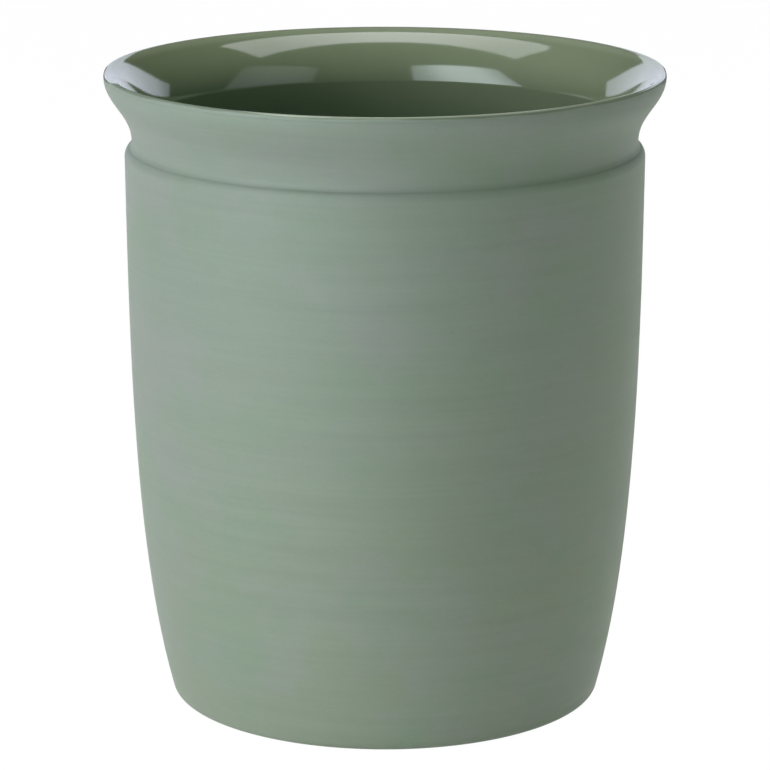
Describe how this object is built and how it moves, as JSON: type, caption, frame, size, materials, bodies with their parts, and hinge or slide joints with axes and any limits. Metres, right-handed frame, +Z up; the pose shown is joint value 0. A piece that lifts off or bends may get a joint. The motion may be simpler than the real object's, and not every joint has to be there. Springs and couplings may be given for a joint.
{
  "type": "preserving crock",
  "caption": "Open stoneware preserving crock with a flared lip, a tie groove under it, a matte outside and a glossy glazed inside.",
  "frame": {"origin": "on the crock's axis, in the plane of the foot it stands on", "axes": "+Z up along the axis; the crock is turned, so +X and +Y are free"},
  "size_m": [0.16, 0.16, 0.1831],
  "materials": {
    "sage_stoneware": "matte, unglazed, sage green, faint turning bands",
    "olive_glaze": "glossy, olive green"
  },
  "bodies": {
    "root": {"crock_body": "sage_stoneware", "glaze_lining": "olive_glaze"}
  },
  "joints": []
}
